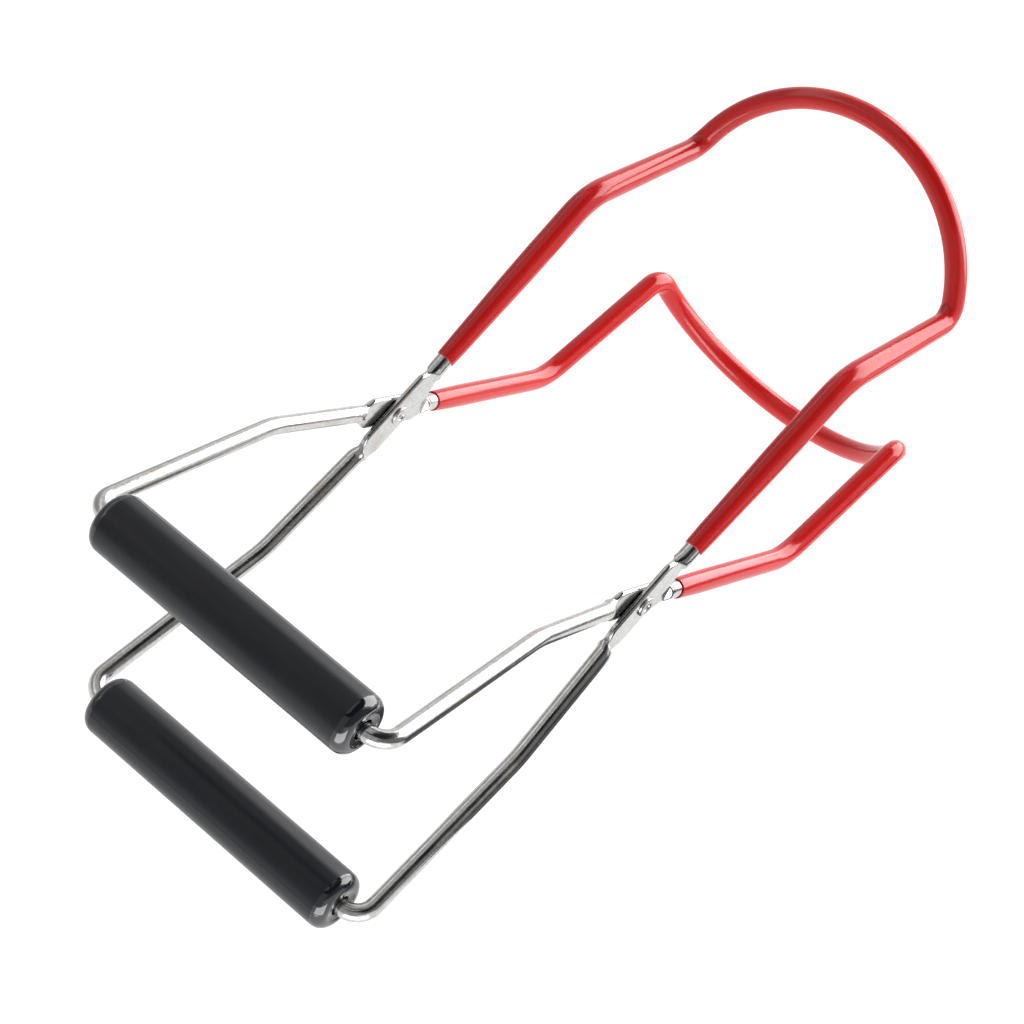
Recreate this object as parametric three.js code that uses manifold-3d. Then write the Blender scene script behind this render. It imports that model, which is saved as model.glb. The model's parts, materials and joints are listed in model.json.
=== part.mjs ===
// Jar lifter: two equal bent-wire halves that cross like scissors on two rivets.
// Each half is a closed loop of round wire with a loose tubular grip on its handle end and a
// dip-coated vinyl jaw on its other end, whose arc wraps one side of a jar's neck.
// Millimetres. X runs along the hinge and the grips, +Y towards the jaws, +Z up. The tool lies
// open on its side, resting on the lower grip and on the apex of the lower jaw's arc, and the
// origin is under the middle of its box, at the level it rests on.

import * as THREE from 'three';
import { ConvexGeometry } from 'three/addons/geometries/ConvexGeometry.js';
import { mergeVertices } from 'three/addons/utils/BufferGeometryUtils.js';
import Module from 'manifold-3d';

const wasm = await Module();
wasm.setup();

const deg = THREE.MathUtils.degToRad;

// Driving dimensions of one half. Its own frame has Y along the middle straight, towards the
// jaw, and Z towards the side that the jaw's arc bulges to.
const WIRE_DIAMETER = 4.8;
const PIVOT_HALF_SPACING = 44;
const HANDLE_STRAIGHT = 51.6;       // pivot to the handle bend
const HANDLE_ARM = 60.1;            // handle bend to the handle corner
const HANDLE_BEND = deg(16.3);
const HANDLE_BEND_X = 46.1;
const HANDLE_CORNER_X = 49;
const HANDLE_CORNER_RADIUS = 5.5;
const JAW_STRAIGHT = 80.2;          // pivot to the jaw bend
const JAW_ARM = 51.7;               // jaw bend to the jaw corner
const JAW_BEND = deg(38);
const JAW_BEND_X = 45.4;
const JAW_CORNER_X = 45.3;
const JAW_CORNER_RADIUS = 6.5;
const JAW_ARC_RADIUS = 46.7;
const JAW_ARC_SLOPE = deg(38.7);    // the arc's plane to the middle straight
const SOFT_BEND_RADIUS = 20;        // of the handle bend and the jaw bend
const WIRE_END_GAP = 1.2;           // between the wire's two ends, inside the grip

// Hinge plates: the wire pressed flat at each pivot, and pierced for the rivet.
const PLATE_THICKNESS = 1.7;
const PLATE_HALF_LENGTH = 14.5;
const PLATE_HALF_HEIGHT = 4.7;
const PLATE_END_HALF_HEIGHT = 2.7;
const PLATE_TAPER_START = 10.5;     // from the pivot
const PLATE_GAP = 0.3;              // between the two halves' plates
const SHOULDER_START = 14;          // where the plate starts to swell back to round wire
const SHOULDER_END = 16.8;
const SHOULDER_OVERLAP = 0.4;       // how far the round wire runs into the shoulder
const RIVET_HOLE_RADIUS = 2.25;

// Rivets: a low factory head on the -X side and a rolled-over head on the +X side.
const SHANK_RADIUS = 2;
const HEAD_RADIUS = 3.3;
const HEAD_HEIGHT = 1.3;
const HEAD_CLEARANCE = 0.2;
const ROLLED_HEAD_RADIUS = 3;
const ROLLED_HEAD_HEIGHT = 1.2;
const DIMPLE_RADIUS = 1.2;
const DIMPLE_DEPTH = 1;

// Vinyl coating of the jaw.
const COATING_DIAMETER = 6.4;
const COATING_START = 20;           // from the pivot, along the middle straight
const COATING_GAP = 0.15;           // kept between the wire and its coating

// Grips.
const GRIP_DIAMETER = 16.7;
const GRIP_LENGTH = 86;
const GRIP_BORE_DIAMETER = 6.4;
const GRIP_END_FILLET = 3.8;

// Open pose: each half's middle straight to the tool's centre plane.
const HALF_OPENING = deg(27);

// Facets.
const WIRE_SIDES = 12;
const BEND_STEPS = 5;
const CORNER_STEPS = 6;
const ARC_STEPS = 26;
const ROUND_SIDES = 24;
const FILLET_STEPS = 4;
const PLATE_TAPER_STEPS = 4;

const wireRadius = WIRE_DIAMETER / 2;
const plateShift = (PLATE_THICKNESS + PLATE_GAP) / 2;   // each half stands this far off centre

const metal = new THREE.MeshStandardMaterial({ color: 0xd8d9da, metalness: 1, roughness: 0.14 });
const vinyl = new THREE.MeshStandardMaterial({ color: 0xb81d22, metalness: 0, roughness: 0.25 });
const plastic = new THREE.MeshStandardMaterial({ color: 0x1d1f23, metalness: 0, roughness: 0.32 });

// ---------------------------------------------------------------- the wire's centre line

// The right-hand side's corner points, in the half's own frame.
const handleBend = new THREE.Vector3(HANDLE_BEND_X, -HANDLE_STRAIGHT, 0);
const handleCorner = new THREE.Vector3(
  HANDLE_CORNER_X,
  -HANDLE_STRAIGHT - HANDLE_ARM * Math.cos(HANDLE_BEND),
  HANDLE_ARM * Math.sin(HANDLE_BEND),
);
const pivot = new THREE.Vector3(PIVOT_HALF_SPACING, 0, 0);
const jawBend = new THREE.Vector3(JAW_BEND_X, JAW_STRAIGHT, 0);
const jawCorner = new THREE.Vector3(
  JAW_CORNER_X,
  JAW_STRAIGHT + JAW_ARM * Math.cos(JAW_BEND),
  -JAW_ARM * Math.sin(JAW_BEND),
);
const arcOutward = new THREE.Vector3(0, Math.cos(JAW_ARC_SLOPE), Math.sin(JAW_ARC_SLOPE));
const arcHalfAngle = Math.asin(JAW_CORNER_X / JAW_ARC_RADIUS);
const arcCentre = jawCorner.clone().setX(0)
  .addScaledVector(arcOutward, -JAW_ARC_RADIUS * Math.cos(arcHalfAngle));

function direction(from, to) {
  return to.clone().sub(from).normalize();
}

// A bend of a given centre-line radius that rounds off the corner b of the route a, b, c.
function bend(a, b, c, radius) {
  const arriving = direction(a, b);
  const leaving = direction(b, c);
  const turn = arriving.angleTo(leaving);
  const setBack = radius * Math.tan(turn / 2);
  const start = b.clone().addScaledVector(arriving, -setBack);
  const end = b.clone().addScaledVector(leaving, setBack);
  return blend(start, arriving, end, leaving);
}

// A near-circular curve that leaves a start along one direction and meets an end along another.
function blend(start, arriving, end, leaving) {
  const turn = arriving.angleTo(leaving);
  const handle = start.distanceTo(end) * (2 / 3) * Math.tan(turn / 4) / Math.sin(turn / 2);
  return new THREE.CubicBezierCurve3(
    start,
    start.clone().addScaledVector(arriving, handle),
    end.clone().addScaledVector(leaving, -handle),
    end,
  );
}

// The jaw's arc, from an angle on the right to the same angle on the left of its apex.
class JawArc extends THREE.Curve {
  constructor(halfAngle) {
    super();
    this.halfAngle = halfAngle;
  }

  getPoint(t) {
    const angle = this.halfAngle * (1 - 2 * t);
    return arcCentre.clone()
      .addScaledVector(arcOutward, JAW_ARC_RADIUS * Math.cos(angle))
      .setX(JAW_ARC_RADIUS * Math.sin(angle));
  }

  getTangent(t) {
    const angle = this.halfAngle * (1 - 2 * t);
    return arcOutward.clone().multiplyScalar(Math.sin(angle)).setX(-Math.cos(angle));
  }
}

// A route made of the ends of straights and the steps of bends: its stations are close together
// only where the wire turns.
class WireRoute extends THREE.Curve {
  constructor(stations) {
    super();
    this.stations = stations;
  }

  at(u) {
    return this.stations[Math.round(u * this.steps)];
  }

  get steps() {
    return this.stations.length - 1;
  }

  getPointAt(u) {
    return this.at(u).point.clone();
  }

  getTangentAt(u) {
    return this.at(u).tangent.clone();
  }
}

function stationsOf(curve, steps) {
  return Array.from({ length: steps + 1 }, (_, i) => ({
    point: curve.getPoint(i / steps),
    tangent: curve.getTangent(i / steps),
  }));
}

function mirrored(stations) {
  return stations.map(({ point, tangent }) => ({
    point: point.clone().setX(-point.x),
    tangent: tangent.clone().negate().setX(tangent.x),
  })).reverse();
}

// Grip to plate, on the right: out of the grip, round the handle corner and up to the pivot.
function handleRoute() {
  const wireEnd = handleCorner.clone().setX(WIRE_END_GAP / 2);
  const towardsPivot = direction(handleBend, pivot);
  const intoShoulder = pivot.clone()
    .addScaledVector(towardsPivot, -(SHOULDER_END - SHOULDER_OVERLAP));
  return [
    { point: wireEnd, tangent: direction(wireEnd, handleCorner) },
    ...stationsOf(bend(wireEnd, handleCorner, handleBend, HANDLE_CORNER_RADIUS), CORNER_STEPS),
    ...stationsOf(bend(handleCorner, handleBend, pivot, SOFT_BEND_RADIUS), BEND_STEPS),
    { point: intoShoulder, tangent: towardsPivot },
  ];
}

// Pivot to pivot through the jaw, starting a given distance from the right-hand pivot.
function jawRoute(startDistance) {
  const awayFromPivot = direction(pivot, jawBend);
  const start = pivot.clone().addScaledVector(awayFromPivot, startDistance);
  const arriving = direction(jawBend, jawCorner);
  const sharpArc = new JawArc(arcHalfAngle);
  const turn = arriving.angleTo(sharpArc.getTangent(0));
  const setBack = JAW_CORNER_RADIUS * Math.tan(turn / 2);
  const arc = new JawArc(arcHalfAngle - setBack / JAW_ARC_RADIUS);
  const corner = blend(
    jawCorner.clone().addScaledVector(arriving, -setBack),
    arriving,
    arc.getPoint(0),
    arc.getTangent(0),
  );
  const rightSide = [
    { point: start, tangent: awayFromPivot },
    ...stationsOf(bend(pivot, jawBend, jawCorner, SOFT_BEND_RADIUS), BEND_STEPS),
    ...stationsOf(corner, CORNER_STEPS),
  ];
  const arcStations = stationsOf(arc, ARC_STEPS).slice(1, -1);
  return [...rightSide, ...arcStations, ...mirrored(rightSide)];
}

// ---------------------------------------------------------------- shapes

// How far out a round section's corners lie, so that the faceted section keeps its true area.
function facetSpread(sides) {
  const step = (2 * Math.PI) / sides;
  return Math.sqrt(step / Math.sin(step));
}

function ring(radius, sides) {
  const cornerRadius = radius * facetSpread(sides);
  return Array.from({ length: sides }, (_, i) => {
    const angle = (2 * Math.PI * i) / sides;
    return new THREE.Vector2(cornerRadius * Math.cos(angle), cornerRadius * Math.sin(angle));
  });
}

function swept(section, stations) {
  const extrudePath = new WireRoute(stations);
  return new THREE.ExtrudeGeometry(section, { steps: extrudePath.steps, extrudePath });
}

function toSolid(geometry) {
  const bare = new THREE.BufferGeometry();
  bare.setAttribute('position', geometry.getAttribute('position'));
  const { attributes, index } = mergeVertices(bare);
  const mesh = { numProp: 3, vertProperties: attributes.position.array, triVerts: index.array };
  return new wasm.Manifold(new wasm.Mesh(mesh));
}

function toGeometry(solid) {
  const { vertProperties, triVerts } = solid.getMesh();
  const geometry = new THREE.BufferGeometry();
  geometry.setAttribute('position', new THREE.BufferAttribute(vertProperties, 3));
  geometry.setIndex(new THREE.BufferAttribute(triVerts, 1));
  return geometry;
}

// A pressed hinge plate standing across X, with its pivot at the origin. It keeps its full height
// about the rivet hole and draws in towards both ends.
function hingePlate() {
  const drawIn = (PLATE_HALF_HEIGHT - PLATE_END_HALF_HEIGHT) / 2;
  const taperLength = PLATE_HALF_LENGTH - PLATE_TAPER_START;
  const upperRight = Array.from({ length: PLATE_TAPER_STEPS + 1 }, (_, i) => {
    const along = i / PLATE_TAPER_STEPS;
    const y = PLATE_HALF_LENGTH - taperLength * along;
    return [y, PLATE_END_HALF_HEIGHT + drawIn * (1 - Math.cos(Math.PI * along))];
  });
  const upperLeft = upperRight.map(([y, z]) => [-y, z]).reverse();
  const upper = [...upperRight, ...upperLeft];
  const lower = upper.map(([y, z]) => [-y, -z]);
  const outline = new THREE.Shape([...upper, ...lower].map(([y, z]) => new THREE.Vector2(y, z)));
  outline.holes.push(new THREE.Path(ring(RIVET_HOLE_RADIUS, ROUND_SIDES)));
  const plate = new THREE.ExtrudeGeometry(outline, { depth: PLATE_THICKNESS, bevelEnabled: false });
  plate.translate(0, 0, -PLATE_THICKNESS / 2);
  const xAxis = new THREE.Vector3(1, 0, 0);
  const yAxis = new THREE.Vector3(0, 1, 0);
  const zAxis = new THREE.Vector3(0, 0, 1);
  return plate.applyMatrix4(new THREE.Matrix4().makeBasis(yAxis, zAxis, xAxis));
}

// The pressed shoulder at one end of a plate, between its flat end and the round wire.
function shoulder(towardsJaw) {
  const flatEnd = [-1, 1].flatMap((x) => [-1, 1].map((z) => new THREE.Vector3(
    (x * PLATE_THICKNESS) / 2,
    towardsJaw * SHOULDER_START,
    z * PLATE_END_HALF_HEIGHT,
  )));
  const roundEnd = ring(wireRadius, WIRE_SIDES)
    .map(({ x, y }) => new THREE.Vector3(x, towardsJaw * SHOULDER_END, y));
  return new ConvexGeometry([...flatEnd, ...roundEnd]);
}

// One half's wire: a single length from end to end, with its two hinge plates pressed in it.
function wireFrameGeometry() {
  const section = new THREE.Shape(ring(wireRadius, WIRE_SIDES));
  const rightHandle = handleRoute();
  const lengths = [
    swept(section, rightHandle),
    swept(section, jawRoute(SHOULDER_END - SHOULDER_OVERLAP)),
    swept(section, mirrored(rightHandle)),
  ];
  for (const side of [-1, 1]) {
    for (const pressed of [hingePlate(), shoulder(1), shoulder(-1)]) {
      lengths.push(pressed.translate(side * PIVOT_HALF_SPACING, 0, 0));
    }
  }
  const [first, ...others] = lengths.map(toSolid);
  return toGeometry(others.reduce((joined, next) => joined.add(next), first));
}

function jawCoatingGeometry() {
  const section = new THREE.Shape(ring(COATING_DIAMETER / 2, WIRE_SIDES));
  section.holes.push(new THREE.Path(ring(wireRadius + COATING_GAP, WIRE_SIDES)));
  return swept(section, jawRoute(COATING_START));
}

// A turned shape whose profile is given as [distance from the axis, place along X] pairs.
function turnedAboutX(profile) {
  const spread = facetSpread(ROUND_SIDES);
  const points = profile.map(([radius, x]) => new THREE.Vector2(radius * spread, x));
  const halfFacet = Math.PI / ROUND_SIDES;
  const turned = new THREE.LatheGeometry(points, ROUND_SIDES, halfFacet, 2 * Math.PI);
  return turned.rotateZ(-Math.PI / 2);
}

function gripGeometry() {
  const outer = GRIP_DIAMETER / 2;
  const bore = GRIP_BORE_DIAMETER / 2;
  const end = GRIP_LENGTH / 2;
  const fillet = Array.from({ length: FILLET_STEPS + 1 }, (_, i) => {
    const angle = (Math.PI / 2) * (i / FILLET_STEPS);
    return [
      outer - GRIP_END_FILLET * (1 - Math.cos(angle)),
      end - GRIP_END_FILLET * (1 - Math.sin(angle)),
    ];
  });
  const oppositeFillet = fillet.map(([radius, x]) => [radius, -x]).reverse();
  return turnedAboutX([[bore, -end], ...oppositeFillet, ...fillet, [bore, end], [bore, -end]]);
}

function rivetGeometry() {
  const underHead = PLATE_THICKNESS + PLATE_GAP / 2 + HEAD_CLEARANCE;
  const headTop = underHead + HEAD_HEIGHT;
  const rolledTop = underHead + ROLLED_HEAD_HEIGHT;
  return turnedAboutX([
    [0, -headTop],
    [HEAD_RADIUS * 0.6, -headTop],
    [HEAD_RADIUS * 0.9, -headTop + HEAD_HEIGHT * 0.35],
    [HEAD_RADIUS, -underHead],
    [SHANK_RADIUS, -underHead],
    [SHANK_RADIUS, underHead],
    [ROLLED_HEAD_RADIUS, underHead],
    [ROLLED_HEAD_RADIUS, underHead + ROLLED_HEAD_HEIGHT * 0.5],
    [(ROLLED_HEAD_RADIUS + DIMPLE_RADIUS) / 2, rolledTop],
    [DIMPLE_RADIUS, rolledTop - ROLLED_HEAD_HEIGHT * 0.15],
    [0, rolledTop - DIMPLE_DEPTH],
  ]);
}

// ---------------------------------------------------------------- assembly

function piece(name, geometry, material) {
  const mesh = new THREE.Mesh(geometry, material);
  mesh.name = name;
  return mesh;
}

// One half in its own frame, standing off the centre by its share of the two hinge plates.
function half(names, gripTurn) {
  const group = new THREE.Group();
  const grip = piece(names.grip, gripGeometry(), plastic);
  grip.position.copy(handleCorner).setX(0);
  grip.rotation.x = gripTurn;
  group.add(
    piece(names.frame, wireFrameGeometry(), metal),
    piece(names.coating, jawCoatingGeometry(), vinyl),
    grip,
  );
  group.position.x = plateShift;
  return group;
}

// The tool is tilted until the lower grip and the lower jaw's apex stand on one level: the line
// between their centres slopes, and so does the line that touches both of their undersides.
function restingTilt() {
  const apex = new JawArc(arcHalfAngle).getPoint(0.5);
  const xAxis = new THREE.Vector3(1, 0, 0);
  const gripCentre = handleCorner.clone().setX(0).applyAxisAngle(xAxis, HALF_OPENING);
  const jawCentre = apex.multiply(new THREE.Vector3(1, 1, -1)).applyAxisAngle(xAxis, -HALF_OPENING);
  const run = jawCentre.sub(gripCentre);
  const slope = Math.atan2(run.z, run.y);
  return -slope - Math.asin((GRIP_DIAMETER - COATING_DIAMETER) / 2 / run.length());
}

const tilt = restingTilt();

const upperJawHalf = new THREE.Group();
upperJawHalf.rotation.x = HALF_OPENING;
upperJawHalf.add(half({
  frame: 'upper_jaw_frame',
  coating: 'upper_jaw_coating',
  grip: 'lower_handle_grip',
}, -HALF_OPENING - tilt));

// The other half is the same piece turned over about the tool's long axis.
const turnedOver = new THREE.Group();
turnedOver.rotation.y = Math.PI;
turnedOver.add(half({
  frame: 'lower_jaw_frame',
  coating: 'lower_jaw_coating',
  grip: 'upper_handle_grip',
}, -HALF_OPENING + tilt));
const lowerJawHalf = new THREE.Group();
lowerJawHalf.rotation.x = -HALF_OPENING;
lowerJawHalf.add(turnedOver);

const tool = new THREE.Group();
tool.rotation.x = tilt;
tool.add(upperJawHalf, lowerJawHalf);
for (const [name, side] of [['right_pivot_rivet', 1], ['left_pivot_rivet', -1]]) {
  const rivet = piece(name, rivetGeometry(), metal);
  rivet.position.x = side * PIVOT_HALF_SPACING;
  tool.add(rivet);
}

const jarLifter = new THREE.Group();
jarLifter.add(tool);
const box = new THREE.Box3().setFromObject(jarLifter, true);
const middle = box.getCenter(new THREE.Vector3());
tool.position.set(-middle.x, -middle.y, -box.min.z);

export default jarLifter;
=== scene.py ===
"""Jar lifter: the shown model, its materials, the light and the camera.

Each half is built in its own frame, in millimetres, from the part's driving dimensions, and is
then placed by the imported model's joints. In that frame Y runs along the middle straight, towards
the jaw, and Z towards the side that the jaw's arc bulges to.
"""

import json
import math

import bmesh
import bpy
from mathutils import Matrix, Quaternion, Vector, noise


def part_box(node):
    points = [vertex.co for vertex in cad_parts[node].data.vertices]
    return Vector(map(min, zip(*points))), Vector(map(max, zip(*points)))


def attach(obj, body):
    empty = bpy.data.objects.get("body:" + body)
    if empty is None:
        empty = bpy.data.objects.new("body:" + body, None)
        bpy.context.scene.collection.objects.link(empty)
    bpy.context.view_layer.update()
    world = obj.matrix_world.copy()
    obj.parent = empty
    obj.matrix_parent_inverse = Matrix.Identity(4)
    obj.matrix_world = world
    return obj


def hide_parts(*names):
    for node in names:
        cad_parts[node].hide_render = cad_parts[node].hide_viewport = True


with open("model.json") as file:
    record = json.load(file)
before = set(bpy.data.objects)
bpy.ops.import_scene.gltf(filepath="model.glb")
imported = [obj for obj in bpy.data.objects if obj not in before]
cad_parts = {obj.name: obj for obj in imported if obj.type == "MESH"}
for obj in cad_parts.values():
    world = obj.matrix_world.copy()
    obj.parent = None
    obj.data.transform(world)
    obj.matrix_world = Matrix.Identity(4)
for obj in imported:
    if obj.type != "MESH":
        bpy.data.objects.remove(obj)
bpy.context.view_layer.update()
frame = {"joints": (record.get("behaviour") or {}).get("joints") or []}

MILLIMETRE = 0.001

# Driving dimensions of one half, as in the part.
WIRE_RADIUS = 2.37                  # a little under the part's, to stay inside its facets' box
PIVOT_X = 44
HANDLE_STRAIGHT = 51.6              # pivot to the handle bend
HANDLE_ARM = 60.1                   # handle bend to the handle corner
HANDLE_BEND = math.radians(16.3)
HANDLE_BEND_X = 46.1
HANDLE_CORNER_X = 49
HANDLE_CORNER_RADIUS = 5.5
JAW_STRAIGHT = 80.2                 # pivot to the jaw bend
JAW_ARM = 51.7                      # jaw bend to the jaw corner
JAW_BEND = math.radians(38)
JAW_BEND_X = 45.4
JAW_CORNER_X = 45.3
JAW_CORNER_RADIUS = 6.5
JAW_ARC_RADIUS = 46.7
JAW_ARC_SLOPE = math.radians(38.7)  # the arc's plane to the middle straight
SOFT_BEND_RADIUS = 20               # of the handle bend and the jaw bend
WIRE_END_GAP = 1.2                  # between the wire's two ends, inside the grip

# Hinge plates, pressed in the wire.
PLATE_HALF_THICKNESS = 0.95
PLATE_HALF_HEIGHT = 4.7
PLATE_END_HALF_HEIGHT = 2.7
PLATE_TAPER_START = 10.5            # from the pivot
PLATE_TAPER_END = 14.5
EDGE_ROUNDING_END = 14.2            # where the plate's round edges give way to the wire's sides
SHOULDER_START = 14                 # where the die's faces slope off the wire
SHOULDER_END = 16.6
SHOULDER_SLOPE = 1.3
RIVET_HOLE_RADIUS = 2.25
DRILL_DEPTH = 6
DRILL_SIDES = 48
SHARPEST_SMOOTH_EDGE = math.radians(50)

# Coating of the jaw.
COATING_START = 20                  # from the pivot, along the middle straight
COATING_CLEARANCE = 0.02            # between the wire and the coating's inside
COATING_LIP = 0.25                  # radius of its rounded ends
COATING_RADIUS = 3.16
COATING_END_THINNING = 0.4
COATING_THINNING_REACH = 8          # distance in which the thinning falls to a third
COATING_SWELL_RISE = (8, 38)        # stretch where the swell comes in, from the coating's end
COATING_SWELL_FALL = (60, 110)      # stretch where it dies away again
COATING_WAVE_HEIGHT = 0.035
COATING_WAVE_SCALE = 0.14           # noise cells per millimetre

# Stations along the wire, and points round its section.
STRAIGHT_SPACING = 2.5
PLATE_SPACING = 0.3
SOFT_BEND_STEPS = 14
CORNER_STEPS = 24
HALF_ARC_STEPS = 44
FLAT_STEPS = 9
EDGE_STEPS = 11
COATING_SIDES = 40
LIP_STEPS = 6

X_AXIS = Vector((1, 0, 0))
Z_AXIS = Vector((0, 0, 1))


# ---------------------------------------------------------------- the wire's centre line

handle_bend = Vector((HANDLE_BEND_X, -HANDLE_STRAIGHT, 0))
handle_corner = Vector((
    HANDLE_CORNER_X,
    -HANDLE_STRAIGHT - HANDLE_ARM * math.cos(HANDLE_BEND),
    HANDLE_ARM * math.sin(HANDLE_BEND),
))
pivot = Vector((PIVOT_X, 0, 0))
jaw_bend = Vector((JAW_BEND_X, JAW_STRAIGHT, 0))
jaw_corner = Vector((
    JAW_CORNER_X,
    JAW_STRAIGHT + JAW_ARM * math.cos(JAW_BEND),
    -JAW_ARM * math.sin(JAW_BEND),
))
arc_outward = Vector((0, math.cos(JAW_ARC_SLOPE), math.sin(JAW_ARC_SLOPE)))
arc_half_angle = math.asin(JAW_CORNER_X / JAW_ARC_RADIUS)
arc_centre = (
    jaw_corner - X_AXIS * JAW_CORNER_X
    - arc_outward * JAW_ARC_RADIUS * math.cos(arc_half_angle)
)


def clamped(value):
    return min(max(value, 0), 1)


def mixed(first, second, share):
    return first + (second - first) * share


def smooth_step(value, start, end):
    """Goes smoothly from 0 at start to 1 at end."""
    t = clamped((value - start) / (end - start))
    return t * t * (3 - 2 * t)


def blend(start, arriving, end, leaving, steps):
    """(point, tangent) stations of a near-circular curve between two directions."""
    turn = arriving.angle(leaving)
    handle = (end - start).length * (2 / 3) * math.tan(turn / 4) / math.sin(turn / 2)
    after_start = start + arriving * handle
    before_end = end - leaving * handle
    stations = []
    for i in range(steps + 1):
        t = i / steps
        s = 1 - t
        point = (
            start * s ** 3 + after_start * 3 * s * s * t
            + before_end * 3 * s * t * t + end * t ** 3
        )
        tangent = (
            (after_start - start) * s * s + (before_end - after_start) * 2 * s * t
            + (end - before_end) * t * t
        )
        stations.append((point, tangent.normalized()))
    return stations


def bend(before, corner, after, radius, steps):
    """Stations that round off a corner of the route."""
    arriving = (corner - before).normalized()
    leaving = (after - corner).normalized()
    set_back = radius * math.tan(arriving.angle(leaving) / 2)
    start = corner - arriving * set_back
    end = corner + leaving * set_back
    return blend(start, arriving, end, leaving, steps)


def arc_station(angle):
    """Station of the jaw's arc, at an angle from its apex."""
    point = arc_centre + arc_outward * JAW_ARC_RADIUS * math.cos(angle)
    point.x = JAW_ARC_RADIUS * math.sin(angle)
    tangent = arc_outward * math.sin(angle) - X_AXIS * math.cos(angle)
    return point, tangent


def filled(stations):
    """The same route, with its straights divided into short lengths."""
    route = [stations[0]]
    for (start, _), (end, tangent) in zip(stations, stations[1:]):
        pieces = max(1, round((end - start).length / STRAIGHT_SPACING))
        for i in range(1, pieces):
            route.append((start.lerp(end, i / pieces), (end - start).normalized()))
        route.append((end, tangent))
    return route


def from_pivot(towards, distance):
    tangent = (towards - pivot).normalized()
    return pivot + tangent * distance, tangent


def handle_route():
    """From the right-hand plate to the wire's end in the grip."""
    wire_end = Vector((WIRE_END_GAP / 2, handle_corner.y, handle_corner.z))
    return filled([
        from_pivot(handle_bend, SHOULDER_END),
        *bend(pivot, handle_bend, handle_corner, SOFT_BEND_RADIUS, SOFT_BEND_STEPS),
        *bend(handle_bend, handle_corner, wire_end, HANDLE_CORNER_RADIUS, CORNER_STEPS),
        (wire_end, -X_AXIS),
    ])


def jaw_route(start_distance):
    """From a distance past the right-hand pivot to the apex of the jaw's arc."""
    arriving = (jaw_corner - jaw_bend).normalized()
    turn = arriving.angle(arc_station(arc_half_angle)[1])
    set_back = JAW_CORNER_RADIUS * math.tan(turn / 2)
    arc_start = arc_half_angle - set_back / JAW_ARC_RADIUS
    arc = [arc_station(arc_start * (1 - i / HALF_ARC_STEPS)) for i in range(HALF_ARC_STEPS + 1)]
    corner_start = jaw_corner - arriving * set_back
    return filled([
        from_pivot(jaw_bend, start_distance),
        *bend(pivot, jaw_bend, jaw_corner, SOFT_BEND_RADIUS, SOFT_BEND_STEPS),
        *blend(corner_start, arriving, *arc[0], CORNER_STEPS),
        *arc[1:],
    ])


def carried(stations):
    """(point, across, up) at each station: axes that turn with the wire, but don't twist."""
    turned = []
    across = X_AXIS.copy()
    up = Z_AXIS.copy()
    tangent_before = stations[0][1]
    for point, tangent in stations:
        turn = tangent_before.rotation_difference(tangent)
        across = turn @ across
        up = turn @ up
        turned.append((point, across, up))
        tangent_before = tangent
    return turned


# ---------------------------------------------------------------- mesh helpers

def mirrored_ring(ring):
    return [Vector((-point.x, point.y, point.z)) for point in ring]


def both_sides(rings):
    """A right-hand run of rings that ends at the apex, carried on down the left-hand side."""
    return rings + [mirrored_ring(ring) for ring in reversed(rings[:-1])]


def middle_of(ring):
    return sum(ring, Vector()) / len(ring)


def distances_along(points):
    """Each point's distance from the first, along the route."""
    distances = [0]
    for before, after in zip(points, points[1:]):
        distances.append(distances[-1] + (after - before).length)
    return distances


def tube_mesh(name, rings, closed=False):
    """Skin over rings of points, capped, or closed from its last ring to its first.

    Its UV map "run" holds millimetres along the tube, and round it at the bare wire's girth.
    """
    builder = bmesh.new()
    uv_layer = builder.loops.layers.uv.new("run")
    rows = [[builder.verts.new(point) for point in ring] for ring in rings]
    distances = distances_along([middle_of(ring) for ring in rings])
    sides = len(rings[0])
    girth = 2 * math.pi * WIRE_RADIUS
    for row in range(len(rows) - 1):
        for i in range(sides):
            corners = [(row, i), (row, i + 1), (row + 1, i + 1), (row + 1, i)]
            face = builder.faces.new([rows[r][k % sides] for r, k in corners])
            for loop, (r, k) in zip(face.loops, corners):
                loop[uv_layer].uv = (distances[r], girth * k / sides)
    if closed:
        for i in range(sides):
            k = (i + 1) % sides
            builder.faces.new([rows[-1][i], rows[-1][k], rows[0][k], rows[0][i]])
    else:
        builder.faces.new(rows[0])
        builder.faces.new(rows[-1])
    return finished_mesh(builder, name)


def turned_mesh(name, profile, sides, radius_at=None):
    """Turned shape about the X axis, from (radius, x) pairs. Its last ring joins its first."""
    rings = []
    for radius, x in profile:
        ring = []
        for i in range(sides):
            angle = 2 * math.pi * i / sides
            r = radius_at(radius, angle) if radius_at else radius
            ring.append(Vector((x, r * math.cos(angle), r * math.sin(angle))))
        rings.append(ring)
    return tube_mesh(name, rings, closed=True)


def finished_mesh(builder, name):
    bmesh.ops.recalc_face_normals(builder, faces=builder.faces)
    mesh = bpy.data.meshes.new(name)
    builder.to_mesh(mesh)
    builder.free()
    mesh.shade_smooth()
    return mesh


def arc_profile(centre_radius, centre_x, radius, start, end, steps):
    """(radius, x) pairs round a fillet, whose angles in degrees go from the X axis outwards."""
    pairs = []
    for i in range(steps + 1):
        angle = math.radians(start + (end - start) * i / steps)
        pairs.append((
            centre_radius + radius * math.sin(angle),
            centre_x + radius * math.cos(angle),
        ))
    return pairs


# ---------------------------------------------------------------- wire with its hinge plates

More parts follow.
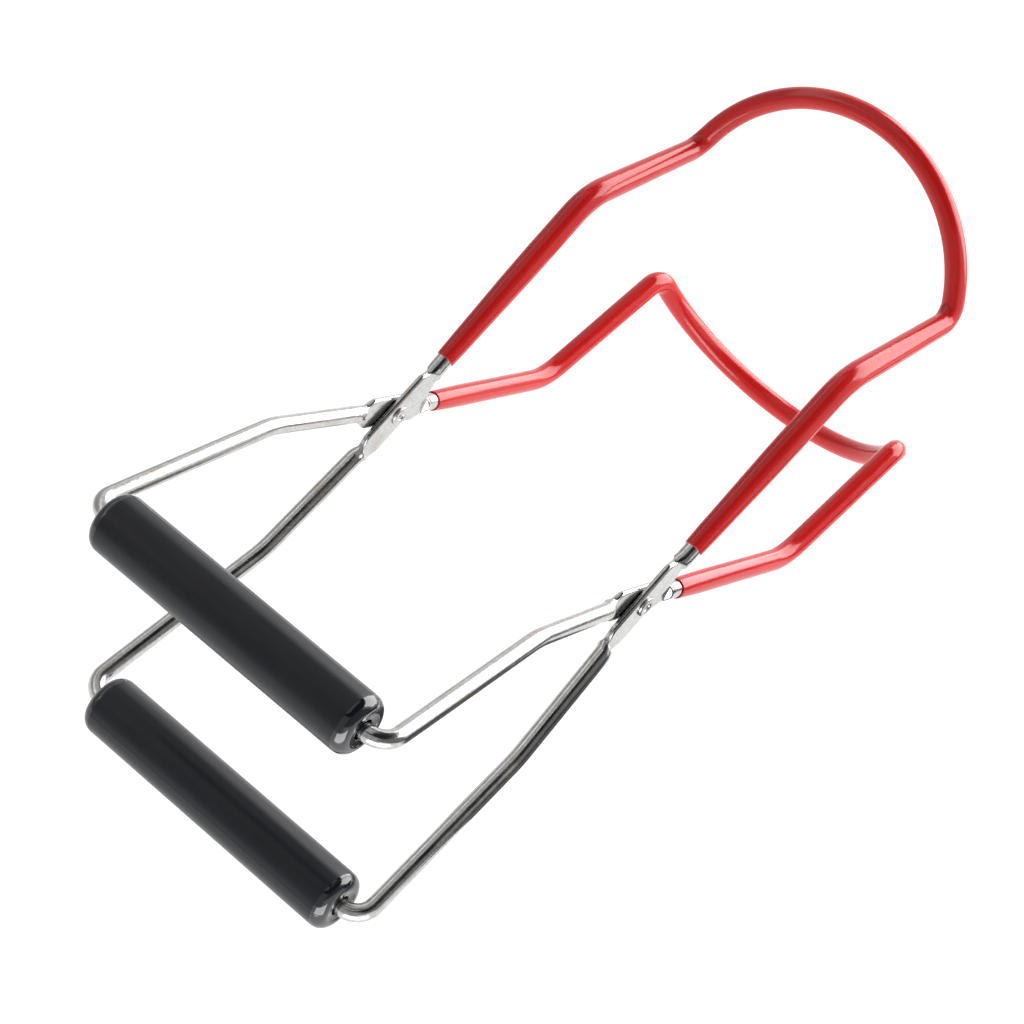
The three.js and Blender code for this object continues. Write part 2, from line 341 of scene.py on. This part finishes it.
def wire_section(half_thickness, half_height, as_bar):
    """(across, up) points of the wire's section.

    It is an oval squeezed between two flats, which as_bar turns into a bar with round edges.
    """
    points = []
    straight_half = half_height - PLATE_HALF_THICKNESS
    for quarter in range(4):
        on_flat = quarter % 2 == 0
        steps = FLAT_STEPS if on_flat else EDGE_STEPS
        for i in range(steps):
            t = i / steps
            angle = math.radians(90 * (quarter + t) - 45)
            across = WIRE_RADIUS * math.cos(angle)
            squeezed = min(max(across, -half_thickness), half_thickness)
            oval_point = Vector((squeezed, half_height * math.sin(angle)))
            if on_flat:
                bar_point = Vector((PLATE_HALF_THICKNESS, straight_half * (2 * t - 1)))
            else:
                edge = Vector((math.cos(math.pi * t), math.sin(math.pi * t)))
                bar_point = edge * PLATE_HALF_THICKNESS + Vector((0, straight_half))
            if quarter >= 2:
                bar_point = -bar_point
            points.append(oval_point.lerp(bar_point, as_bar))
    return points


def ring_at(point, across, up, section):
    return [point + across * u + up * v for u, v in section]


def plate_rings():
    """The pressed length through the right-hand pivot, from its jaw end to its handle end."""
    rings = []
    steps = round(2 * SHOULDER_END / PLATE_SPACING)
    for i in range(1, steps):
        reach = SHOULDER_END * (1 - 2 * i / steps)
        distance = abs(reach)
        pressed = 1 - smooth_step(distance, SHOULDER_START, SHOULDER_END)
        towards = jaw_bend if reach > 0 else handle_bend
        on_wire = from_pivot(towards, distance)[0]
        on_plate = Vector((PIVOT_X, reach, 0))
        taper = smooth_step(distance, PLATE_TAPER_START, PLATE_TAPER_END)
        half_height = mixed(PLATE_HALF_HEIGHT, PLATE_END_HALF_HEIGHT, taper)
        half_height = mixed(WIRE_RADIUS, half_height, pressed)
        past_flat = max(0, distance - SHOULDER_START)
        half_thickness = PLATE_HALF_THICKNESS + past_flat * SHOULDER_SLOPE
        as_bar = 1 - smooth_step(distance, PLATE_TAPER_START, EDGE_ROUNDING_END)
        section = wire_section(half_thickness, half_height, as_bar)
        rings.append(ring_at(on_wire.lerp(on_plate, pressed), X_AXIS, Z_AXIS, section))
    return rings


def frame_mesh(name):
    round_section = wire_section(WIRE_RADIUS, WIRE_RADIUS, 0)
    handle = [ring_at(*axes, round_section) for axes in carried(handle_route())]
    jaw = [ring_at(*axes, round_section) for axes in carried(jaw_route(SHOULDER_END))]
    right_side = list(reversed(handle)) + list(reversed(plate_rings())) + jaw
    return tube_mesh(name, both_sides(right_side))


def drill_mesh():
    """A pin through each rivet hole, in the half's own frame."""
    builder = bmesh.new()
    turn = Matrix.Rotation(math.pi / 2, 4, "Y")
    for side in (-1, 1):
        bmesh.ops.create_cone(
            builder, cap_ends=True, segments=DRILL_SIDES, radius1=RIVET_HOLE_RADIUS,
            radius2=RIVET_HOLE_RADIUS, depth=DRILL_DEPTH,
            matrix=Matrix.Translation((side * PIVOT_X, 0, 0)) @ turn,
        )
    return finished_mesh(builder, "drill")


def drill_rivet_holes(piece):
    """Cuts the rivet holes while the piece is still in its half's own frame."""
    drill = bpy.data.objects.new("drill", drill_mesh())
    bpy.context.scene.collection.objects.link(drill)
    cut = piece.modifiers.new("holes", "BOOLEAN")
    cut.operation = "DIFFERENCE"
    cut.solver = "EXACT"
    cut.object = drill
    depsgraph = bpy.context.evaluated_depsgraph_get()
    drilled = bpy.data.meshes.new_from_object(piece.evaluated_get(depsgraph))
    piece.modifiers.clear()
    piece.data = drilled
    drilled.set_sharp_from_angle(angle=SHARPEST_SMOOTH_EDGE)
    bpy.data.objects.remove(drill)


# ---------------------------------------------------------------- coating

def coating_radius(distance, swell):
    """Outer radius at a distance from the coating's end: thin there, and fuller farther on."""
    thin_end = COATING_END_THINNING * math.exp(-distance / COATING_THINNING_REACH)
    risen = smooth_step(distance, *COATING_SWELL_RISE)
    fallen = smooth_step(distance, *COATING_SWELL_FALL)
    return COATING_RADIUS - thin_end + swell * risen * (1 - fallen)


def coating_ring(place, radius, seed, shift=0, wave_height=COATING_WAVE_HEIGHT):
    """Ring round a station, slightly uneven, and shifted back along the wire."""
    point, across, up = place
    back = across.cross(up)
    ring = []
    for i in range(COATING_SIDES):
        angle = 2 * math.pi * i / COATING_SIDES
        outward = across * math.cos(angle) + up * math.sin(angle)
        sample = (point + outward * radius) * COATING_WAVE_SCALE + Vector((0, 0, seed))
        wave = wave_height * noise.noise(sample)
        ring.append(point + outward * (radius + wave) + back * shift)
    return ring


def coating_lip(place, end_radius, seed):
    """Rings that round off the coating's end."""
    rings = []
    for i in range(LIP_STEPS + 1):
        angle = math.pi / 2 * i / LIP_STEPS
        radius = end_radius - COATING_LIP * (1 - math.sin(angle))
        rings.append(coating_ring(place, radius, seed, COATING_LIP * math.cos(angle)))
    return rings


def coating_mesh(name, swell, seed):
    """Dip-coated skin: its outside with rounded, slightly uneven ends, and its inside."""
    places = carried(jaw_route(COATING_START))
    distances = distances_along([point for point, _, _ in places])
    lip = coating_lip(places[0], coating_radius(0, swell), seed)
    outer = [
        coating_ring(place, coating_radius(distance, swell), seed)
        for place, distance in list(zip(places, distances))[1:]
    ]
    inner = [
        coating_ring(place, WIRE_RADIUS + COATING_CLEARANCE, seed, wave_height=0)
        for place in places
    ]
    outside = both_sides(lip + outer)
    inside = both_sides(inner)
    return tube_mesh(name, outside + list(reversed(inside)), closed=True)


# ---------------------------------------------------------------- grips and rivets

GRIP_SIDES = 144
GRIP_SPACING = 2                    # between rings along the straight outside
GRIP_FILLET = 3.1
GRIP_FILLET_STEPS = 16
GRIP_BORE_RADIUS = 2.85
GRIP_STEP_RADIUS = 4.6              # of the shallow recess in each end
GRIP_STEP_DEPTH = 0.25
PARTING_RIDGE_HEIGHT = 0.07
PARTING_RIDGE_WIDTH = 0.3


def grip_end(half_length):
    """(radius, x) pairs from the bore's mouth, over the recess, to the rim of its wall."""
    mouth = 0.4                     # size of the bevel at the bore's mouth
    mouth_inset = 0.12              # of the bevel's middle point, which rounds it
    foot = 0.25                     # widths of the roundings of the recess's wall
    edge = 0.08
    rim = 0.12
    recess = half_length - GRIP_STEP_DEPTH
    return [
        (GRIP_BORE_RADIUS, recess - mouth),
        (GRIP_BORE_RADIUS + mouth_inset, recess - mouth_inset),
        (GRIP_BORE_RADIUS + mouth, recess),
        (GRIP_STEP_RADIUS - foot, recess),
        (GRIP_STEP_RADIUS - edge, recess + edge),
        (GRIP_STEP_RADIUS, half_length - edge),
        (GRIP_STEP_RADIUS + rim, half_length),
    ]


def grip_profile(outer, half_length):
    """(radius, x) pairs from one end of the bore, round the outside, to the other end."""
    straight_half = half_length - GRIP_FILLET
    fillet = arc_profile(
        outer - GRIP_FILLET, straight_half, GRIP_FILLET, 0, 90, GRIP_FILLET_STEPS
    )
    right = grip_end(half_length) + fillet
    steps = round(2 * straight_half / GRIP_SPACING)
    straight = [(outer, straight_half * (1 - 2 * i / steps)) for i in range(1, steps)]
    left = [(radius, -x) for radius, x in reversed(right)]
    return right + straight + left


def grip_mesh(name, outer, half_length, seam_turn):
    def radius_at(radius, angle):
        """Adds the two fine ridges that the mould's parting line leaves on the outside."""
        if radius < outer - GRIP_FILLET:
            return radius
        from_seam = math.asin(math.sin(angle - seam_turn)) * outer
        ridge = PARTING_RIDGE_HEIGHT * math.exp(-(from_seam / PARTING_RIDGE_WIDTH) ** 2)
        return radius - PARTING_RIDGE_HEIGHT + ridge

    return turned_mesh(name, grip_profile(outer, half_length), GRIP_SIDES, radius_at)


RIVET_SIDES = 64
RIVET_SHANK_RADIUS = 2
RIVET_HEAD_START = 2.05             # from the middle, just clear of the plates
FACTORY_HEAD_RADIUS = 3.3
FACTORY_HEAD_HEIGHT = 1.3
ROLLED_HEAD_RADIUS = 2.9
ROLLED_HEAD_HEIGHT = 0.7
DIMPLE_RADIUS = 1.1
DIMPLE_DEPTH = 0.5
RIVET_CORE_RADIUS = 0.02            # the rings stop here, so that none shrinks to a point
DOME_STEPS = 10
ROLL_STEPS = 14


def dome_profile():
    """(radius, x) pairs of the factory head, from its middle to its edge."""
    edge_share = 0.25               # of the head's height, at its edge
    pairs = []
    for i in range(DOME_STEPS + 1):
        angle = math.pi / 2 * i / DOME_STEPS
        height = FACTORY_HEAD_HEIGHT * mixed(edge_share, 1, math.cos(angle))
        pairs.append((
            max(RIVET_CORE_RADIUS, FACTORY_HEAD_RADIUS * math.sin(angle)),
            -RIVET_HEAD_START - height,
        ))
    return pairs


def rolled_profile():
    """(radius, x) pairs of the rolled head's ring, from its outer edge to the dimple's."""
    edge_share = 0.3                # of the head's height, at both edges
    roll_radius = (ROLLED_HEAD_RADIUS - DIMPLE_RADIUS) / 2
    roll_middle = DIMPLE_RADIUS + roll_radius
    pairs = []
    for i in range(ROLL_STEPS + 1):
        angle = math.pi * i / ROLL_STEPS
        height = ROLLED_HEAD_HEIGHT * mixed(edge_share, 1, math.sin(angle))
        pairs.append((roll_middle + roll_radius * math.cos(angle), RIVET_HEAD_START + height))
    return pairs


def rivet_profile():
    """(radius, x) pairs: a low domed head on the -X side, a rolled head on the +X side."""
    top = RIVET_HEAD_START + ROLLED_HEAD_HEIGHT
    dimple_floor = (DIMPLE_RADIUS * 0.75, top - DIMPLE_DEPTH * 0.92)
    return [
        *dome_profile(),
        (FACTORY_HEAD_RADIUS, -RIVET_HEAD_START),
        (RIVET_SHANK_RADIUS, -RIVET_HEAD_START),
        (RIVET_SHANK_RADIUS, RIVET_HEAD_START),
        (ROLLED_HEAD_RADIUS, RIVET_HEAD_START),
        *rolled_profile(),
        dimple_floor,
        (RIVET_CORE_RADIUS, top - DIMPLE_DEPTH),
        (RIVET_CORE_RADIUS, 0),
    ]


# ---------------------------------------------------------------- materials

IN_MILLIMETRES = (1000, 1000, 1000)     # scales object space, which is in metres
LINES_ALONG_WIRE = (0.12, 3.2, 1)       # scales the "run" map: long, narrow cells
RUBS_ALONG_GRIP = (250, 900, 900)       # scales object space: cells stretched along the grip

PLATING = (0.60, 0.60, 0.595)
PLATING_SPECK = (0.47, 0.465, 0.45)
PLATING_STAIN = (0.46, 0.40, 0.33)
VINYL_RED = (0.52, 0.0115, 0.0105)
VINYL_LIGHTER_RED = (0.56, 0.014, 0.0125)
GRIP_BLACK = (0.0054, 0.0062, 0.0098)
GRIP_RUBBED_BLACK = (0.0070, 0.0079, 0.0118)


def new_material(name, values):
    """Principled material with these shader values. Returns it, its node tree and its shader."""
    material = bpy.data.materials.new(name)
    material.use_nodes = True
    tree = material.node_tree
    shader = tree.nodes["Principled BSDF"]
    for socket, value in values.items():
        shader.inputs[socket].default_value = value
    return material, tree, shader


def add_node(tree, kind, inputs=None, **settings):
    made = tree.nodes.new(kind)
    for name, value in settings.items():
        setattr(made, name, value)
    for name, value in (inputs or {}).items():
        made.inputs[name].default_value = value
    return made


def coordinates(tree, scale, from_run=False):
    """Scaled texture coordinates: object space in metres, or the UV map's millimetres."""
    mapping = add_node(tree, "ShaderNodeMapping", {"Scale": scale})
    if from_run:
        source = add_node(tree, "ShaderNodeUVMap", uv_map="run")
        tree.links.new(source.outputs["UV"], mapping.inputs["Vector"])
    else:
        source = add_node(tree, "ShaderNodeTexCoord")
        tree.links.new(source.outputs["Object"], mapping.inputs["Vector"])
    return mapping.outputs["Vector"]


def noise_value(tree, vector, scale, detail=3.0, roughness=0.5):
    texture = add_node(
        tree, "ShaderNodeTexNoise", {"Scale": scale, "Detail": detail, "Roughness": roughness}
    )
    tree.links.new(vector, texture.inputs["Vector"])
    return texture.outputs["Fac"]


def ranged(tree, value, low, high, at_low=0.0, at_high=1.0):
    """Goes from at_low to at_high as the value goes from low to high, and stays between them."""
    node = add_node(tree, "ShaderNodeMapRange", {
        "From Min": low, "From Max": high, "To Min": at_low, "To Max": at_high,
    })
    tree.links.new(value, node.inputs["Value"])
    return node.outputs["Result"]


def mixed_colour(tree, factor, first, second):
    """Mix of two colours, each of them a tuple or another node's output."""
    node = add_node(tree, "ShaderNodeMix", data_type="RGBA")
    tree.links.new(factor, node.inputs["Factor"])
    for socket, colour in (("A", first), ("B", second)):
        target = next(s for s in node.inputs if s.name == socket and s.type == "RGBA")
        if isinstance(colour, tuple):
            target.default_value = (*colour, 1)
        else:
            tree.links.new(colour, target)
    return next(s for s in node.outputs if s.type == "RGBA")


def add_bump(tree, shader, height, strength, distance, under=None):
    """Puts a bump, whose distance is in metres, on the shader and over the one under it."""
    node = add_node(tree, "ShaderNodeBump", {"Strength": strength, "Distance": distance})
    tree.links.new(height, node.inputs["Height"])
    if under:
        tree.links.new(under, node.inputs["Normal"])
    tree.links.new(node.outputs["Normal"], shader.inputs["Normal"])
    return node.outputs["Normal"]


def plated_material(name, drawn, smoothest, roughest):
    """Bright plating with fine specks and faint warm stains, and with drawn wire's lines."""
    material, tree, shader = new_material(name, {"Metallic": 1.0})
    space = coordinates(tree, IN_MILLIMETRES)
    lines_space = coordinates(tree, LINES_ALONG_WIRE, from_run=True) if drawn else space
    lines = noise_value(tree, lines_space, scale=1.0, detail=4.0)
    patches = noise_value(tree, space, scale=0.11, detail=4.0, roughness=0.6)
    specks = noise_value(tree, space, scale=0.9, detail=4.0, roughness=0.65)
    stain = ranged(tree, patches, 0.52, 0.70, at_high=0.7)
    speckled = ranged(tree, specks, 0.4, 0.68)
    bright = mixed_colour(tree, speckled, PLATING, PLATING_SPECK)
    colour = mixed_colour(tree, stain, bright, PLATING_STAIN)
    tree.links.new(colour, shader.inputs["Base Color"])
    roughness = ranged(tree, patches, 0.35, 0.7, smoothest, roughest)
    tree.links.new(roughness, shader.inputs["Roughness"])
    under = add_bump(tree, shader, lines, 0.25, 0.00003)
    add_bump(tree, shader, specks, 0.22, 0.00005, under)
    return material


def vinyl_material():
    """Dipped vinyl: deep glossy red, with soft unevenness and fine pores."""
    material, tree, shader = new_material("red_vinyl", {
        "Subsurface Weight": 0.1,
        "Subsurface Scale": 0.001,
        "Subsurface Radius": (1, 0.15, 0.1),
        "Specular IOR Level": 0.45,
    })
    space = coordinates(tree, IN_MILLIMETRES)
    broad = noise_value(tree, space, scale=0.05, detail=2.0)
    fine = noise_value(tree, space, scale=0.3, detail=1.5)
    pores = noise_value(tree, space, scale=2.0, detail=2.0)
    lighter = ranged(tree, broad, 0.35, 0.65)
    colour = mixed_colour(tree, lighter, VINYL_RED, VINYL_LIGHTER_RED)
    tree.links.new(colour, shader.inputs["Base Color"])
    roughness = ranged(tree, fine, 0.3, 0.7, 0.13, 0.19)
    tree.links.new(roughness, shader.inputs["Roughness"])
    under = add_bump(tree, shader, fine, 0.2, 0.0001)
    add_bump(tree, shader, pores, 0.04, 0.00002, under)
    return material


def grip_material(name, specular, smoothest, roughest):
    """Moulded black plastic, with a fine grain and faint handling marks along it."""
    material, tree, shader = new_material(name, {"Specular IOR Level": specular})
    space = coordinates(tree, IN_MILLIMETRES)
    rubbed_space = coordinates(tree, RUBS_ALONG_GRIP)
    grain = noise_value(tree, space, scale=1.6, detail=3.0)
    rubbed = noise_value(tree, rubbed_space, scale=0.3, detail=3.0, roughness=0.5)
    paler = ranged(tree, rubbed, 0.4, 0.75)
    colour = mixed_colour(tree, paler, GRIP_BLACK, GRIP_RUBBED_BLACK)
    tree.links.new(colour, shader.inputs["Base Color"])
    roughness = ranged(tree, rubbed, 0.3, 0.75, smoothest, roughest)
    tree.links.new(roughness, shader.inputs["Roughness"])
    add_bump(tree, shader, grain, 0.06, 0.00002)
    return material


# ---------------------------------------------------------------- assembly

joints = {joint["name"]: joint for joint in frame["joints"]}
hinge_centre = Vector(joints["scissor_hinge"]["pos_m"])


def half_matrix(grip_joint, turned_over):
    """Puts a half's own frame, in millimetres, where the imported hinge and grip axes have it."""
    grip_centre = Vector(joints[grip_joint]["pos_m"])
    from_hinge = grip_centre - hinge_centre
    lateral = Matrix.Translation((abs(from_hinge.x) / MILLIMETRE, 0, 0))
    own = Matrix.Rotation(math.pi, 4, "Y") if turned_over else Matrix.Identity(4)
    local_grip = own @ handle_corner
    turn = math.atan2(from_hinge.z, from_hinge.y) - math.atan2(local_grip.z, local_grip.y)
    return (
        Matrix.Translation(hinge_centre) @ Matrix.Rotation(turn, 4, "X")
        @ Matrix.Scale(MILLIMETRE, 4) @ own @ lateral
    )


def add_piece(name, mesh, material, node):
    """Shows a mesh in place of a CAD node, with the given material."""
    piece = bpy.data.objects.new(name, mesh)
    bpy.context.scene.collection.objects.link(piece)
    mesh.materials.append(material)
    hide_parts(node)
    return piece


def ride(piece, matrix, body):
    """Moves the piece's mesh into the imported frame, in metres, and fixes it to its body."""
    piece.data.transform(matrix)
    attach(piece, body)


def add_half(jaw, grip_joint, turned_over, wire, vinyl, swell, seed):
    """One jaw's half: its bent wire with the hinge plates, and its coating."""
    matrix = half_matrix(grip_joint, turned_over)
    body = f"{jaw}_jaw_half"
    frame_name = f"{jaw}_jaw_frame"
    coating_name = f"{jaw}_jaw_coating"
    wire_piece = add_piece(
        f"{jaw}_jaw_wire", frame_mesh(frame_name), wire, frame_name
    )
    drill_rivet_holes(wire_piece)
    ride(wire_piece, matrix, body)
    coating = add_piece(
        f"{jaw}_jaw_vinyl", coating_mesh(coating_name, swell, seed), vinyl, coating_name,
    )
    ride(coating, matrix, body)


def add_grip(side, satin, polished, seam_turn):
    """Grip sleeve, satin along its length and polished on its filleted ends."""
    node = f"{side}_handle_grip"
    low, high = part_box(node)
    centre = Vector(joints[f"{side}_grip_spin"]["pos_m"])
    half_length = (high.x - low.x) / 2 / MILLIMETRE
    outer = min(high.y - low.y, high.z - low.z) / 2 / MILLIMETRE
    mesh = grip_mesh(node, outer, half_length, seam_turn)
    piece = add_piece(f"{side}_grip_sleeve", mesh, satin, node)
    mesh.materials.append(polished)
    for face in mesh.polygons:
        face.material_index = int(abs(face.center.x) > half_length - GRIP_FILLET)
    ride(piece, Matrix.Translation(centre) @ Matrix.Scale(MILLIMETRE, 4), f"{side}_grip")


def add_rivet(side, metal):
    node = f"{side}_pivot_rivet"
    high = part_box(node)[1]
    towards_side = 1 if high.x > 0 else -1
    place = hinge_centre.copy()
    place.x += towards_side * PIVOT_X * MILLIMETRE
    mesh = turned_mesh(node, rivet_profile(), RIVET_SIDES)
    piece = add_piece(f"{side}_rivet", mesh, metal, node)
    ride(piece, Matrix.Translation(place) @ Matrix.Scale(MILLIMETRE, 4), "lower_jaw_half")


wire = plated_material("plated_wire", drawn=True, smoothest=0.14, roughest=0.27)
rivet_metal = plated_material("rivet_metal", drawn=False, smoothest=0.24, roughest=0.36)
vinyl = vinyl_material()
grip_satin = grip_material("black_grip", specular=0.4, smoothest=0.3, roughest=0.35)
grip_polished = grip_material("black_grip_ends", specular=0.85, smoothest=0.08, roughest=0.12)
add_half("upper", "lower_grip_spin", False, wire, vinyl, swell=0.4, seed=3)
add_half("lower", "upper_grip_spin", True, wire, vinyl, swell=-0.12, seed=11)
add_grip("upper", grip_satin, grip_polished, seam_turn=math.radians(60))
add_grip("lower", grip_satin, grip_polished, seam_turn=math.radians(165))
add_rivet("right", rivet_metal)
add_rivet("left", rivet_metal)


# ---------------------------------------------------------------- floor, light and camera

def cove_profile():
    """(radius, height) pairs from the floor's middle, up the bend, to the wall's top."""
    floor_level = -0.25             # below the reach of the fully opened handle
    floor_ring_radii = (0.02, 0.4, 0.9)
    bend_start = 1.3
    bend_radius = 1.1
    bend_steps = 12
    wall_top = 2.6
    pairs = [(radius, floor_level) for radius in floor_ring_radii]
    for i in range(bend_steps + 1):
        angle = math.pi / 2 * i / bend_steps
        pairs.append((
            bend_start + bend_radius * math.sin(angle),
            floor_level + bend_radius * (1 - math.cos(angle)),
        ))
    pairs.append((bend_start + bend_radius, floor_level + wall_top))
    return pairs


def cove_mesh():
    builder = bmesh.new()
    sides = 96
    angles = [2 * math.pi * i / sides for i in range(sides)]
    rows = []
    for radius, height in cove_profile():
        rows.append([
            builder.verts.new((radius * math.cos(a), radius * math.sin(a), height))
            for a in angles
        ])
    for lower, upper in zip(rows, rows[1:]):
        for i in range(sides):
            k = (i + 1) % sides
            builder.faces.new([lower[i], lower[k], upper[k], upper[i]])
    builder.faces.new(list(reversed(rows[0])))
    return finished_mesh(builder, "cove")


def add_cove():
    """White floor that curves up into a wall all round, far outside the views' cameras."""
    cove = bpy.data.objects.new("cove", cove_mesh())
    bpy.context.scene.collection.objects.link(cove)
    material = new_material("cove_white", {
        "Base Color": (0.3, 0.3, 0.3, 1),
        "Roughness": 0.9,
        "Specular IOR Level": 0.0,
        "Emission Color": (1, 1, 1, 1),
        "Emission Strength": 0.75,
    })[0]
    cove.data.materials.append(material)


def add_softbox(name, azimuth, elevation, distance, width, height, power):
    """Soft rectangular light aimed at the hinge, in degrees, metres and watts.

    Azimuth 0 is along +X and 90 along +Y.
    """
    light = bpy.data.lights.new(name, "AREA")
    light.shape = "RECTANGLE"
    light.size = width
    light.size_y = height
    light.energy = power
    lamp = bpy.data.objects.new(name, light)
    around = math.radians(azimuth)
    above = math.radians(elevation)
    direction = Vector((
        math.cos(above) * math.cos(around),
        math.cos(above) * math.sin(around),
        math.sin(above),
    ))
    lamp.location = hinge_centre + direction * distance
    lamp.rotation_euler = direction.to_track_quat("Z", "Y").to_euler()
    lamp.visible_camera = False
    bpy.context.scene.collection.objects.link(lamp)


def add_card(name, corners, grey):
    """Grey card beside the set, from its corners in metres. It shows only in reflections."""
    builder = bmesh.new()
    builder.faces.new([builder.verts.new(corner) for corner in corners])
    card = bpy.data.objects.new(name, finished_mesh(builder, name))
    card.visible_camera = False
    card.visible_shadow = False
    bpy.context.scene.collection.objects.link(card)
    material = new_material(name, {
        "Base Color": (grey, grey, grey, 1),
        "Roughness": 0.9,
    })[0]
    card.data.materials.append(material)


def add_camera():
    """Long lens from the front right and above, rolled a little, aimed close to the hinge."""
    azimuth = math.radians(31.03)
    elevation = math.radians(43.63)
    roll = math.radians(15.35)
    distance = 0.7853
    aim = hinge_centre + Vector((0.00063, -0.00126, -0.00147))
    back = Vector((
        math.sin(azimuth) * math.cos(elevation),
        -math.cos(azimuth) * math.cos(elevation),
        math.sin(elevation),
    ))
    level = Vector((math.cos(azimuth), math.sin(azimuth), 0))
    right = Quaternion(-back, -roll) @ level
    up = back.cross(right)
    camera = bpy.data.objects.new("camera", bpy.data.cameras.new("camera"))
    camera.data.lens = 104.983
    camera.data.sensor_width = 36
    camera.matrix_world = Matrix((right, up, back)).transposed().to_4x4()
    camera.location = aim + back * distance
    bpy.context.scene.collection.objects.link(camera)
    bpy.context.scene.camera = camera


def set_world():
    world = bpy.data.worlds.new("studio")
    world.use_nodes = True
    background = world.node_tree.nodes["Background"]
    background.inputs["Color"].default_value = (0.015, 0.015, 0.016, 1)
    background.inputs["Strength"].default_value = 1.0
    bpy.context.scene.world = world


add_cove()
set_world()
# The long highlights along the tops of the wires, and the light on the jaws' arcs.
add_softbox(
    "rear_softbox", azimuth=74, elevation=26, distance=1.25, width=1.55, height=1.2, power=29
)
# The broad soft light on the grips and the coatings from above.
add_softbox(
    "left_softbox", azimuth=194, elevation=56, distance=1.2, width=1.35, height=1.45, power=3.3
)
# The small bright patches on the grips' ends, the plates' shoulders and the handle corners.
add_softbox(
    "front_panel", azimuth=-52, elevation=-20, distance=0.5, width=0.5, height=0.26, power=1.9
)
# The dark band along the handle wires of the upper jaw's half.
add_card(
    "right_card", [(0.28, -0.5, 0.2), (0.15, 0, 0.02), (0.85, 0.15, 1.0), (0.85, -0.8, 1.0)],
    grey=0.2,
)
# The darker near sides of the grips, and the inner edges of the jaws' arcs.
add_card(
    "front_card", [(0.6, -0.8, 0), (-0.9, -0.8, 0), (-0.9, -1.0, 1.1), (0.85, -0.8, 1.1)],
    grey=0.3,
)
# The thin grey line along the left edges of the wires.
add_card(
    "left_card", [(-0.3, 0.25, 0), (-0.3, -0.35, 0), (-0.8, -0.6, 0.6), (-0.8, 0.4, 0.6)],
    grey=0.35,
)
# The thin dark line low on the right-hand handle wires.
add_card(
    "floor_card",
    [(0, -0.065, 0.001), (0.16, -0.065, 0.001), (0.2, 0.05, 0.001), (0.04, 0, 0.001)],
    grey=0.12,
)
# The thin dark lines along the undersides of all the wires.
add_card(
    "low_card", [(0.15, -0.05, 0), (0.12, 0.25, 0), (0.12, 0.25, 0.025), (0.15, -0.05, 0.055)],
    grey=0.08,
)
add_camera()
bpy.context.scene.view_settings.view_transform = "Standard"
